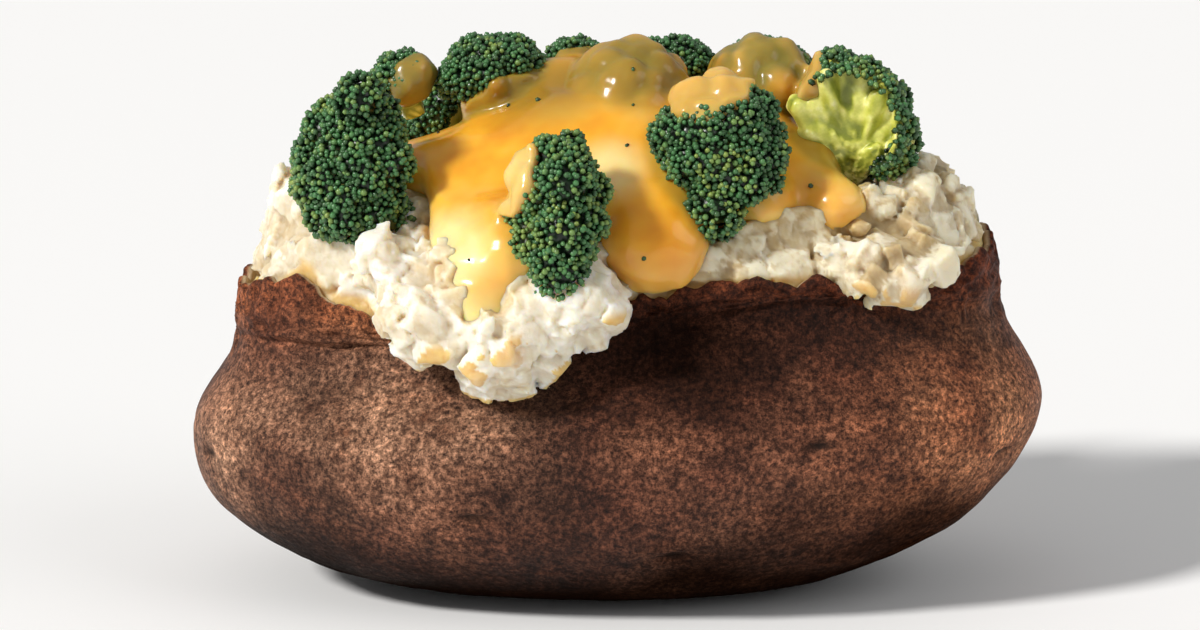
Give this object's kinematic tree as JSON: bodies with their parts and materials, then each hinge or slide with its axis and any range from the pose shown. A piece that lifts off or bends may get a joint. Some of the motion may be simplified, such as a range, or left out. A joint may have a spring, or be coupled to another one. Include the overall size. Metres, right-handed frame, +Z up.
{
  "type": "baked potato topped with cheese sauce and broccoli",
  "caption": "Large baked potato split open along its top, with fluffed flesh heaped out of the torn skin under melted cheese sauce and broccoli florets.",
  "frame": {"origin": "under the middle of the whole potato, on the surface that it stands on", "axes": "+X along the potato towards the end with the sliced floret, +Z up, -Y towards the open front where the flesh hangs over the skin"},
  "size_m": [0.1392, 0.0788, 0.09],
  "materials": {
    "skin": "matte baked skin, dry and finely netted",
    "flesh": "moist, crumbly and slightly translucent",
    "sauce": "smooth melted cheese, glossy",
    "broccoli": "steamed green buds with a faint wet sheen"
  },
  "bodies": {
    "root": {"jacket": "skin", "flesh": "flesh", "cheese_sauce": "sauce", "floret_left": "broccoli", "floret_small_left": "broccoli", "floret_top_left": "broccoli", "floret_small_top": "broccoli", "floret_top_middle": "broccoli", "floret_top_right": "broccoli", "floret_right": "broccoli", "floret_front": "broccoli", "floret_back_dome": "broccoli", "floret_sliced": "broccoli", "floret_rear_left": "broccoli", "floret_rear_middle": "broccoli", "floret_rear_right": "broccoli"}
  },
  "joints": []
}
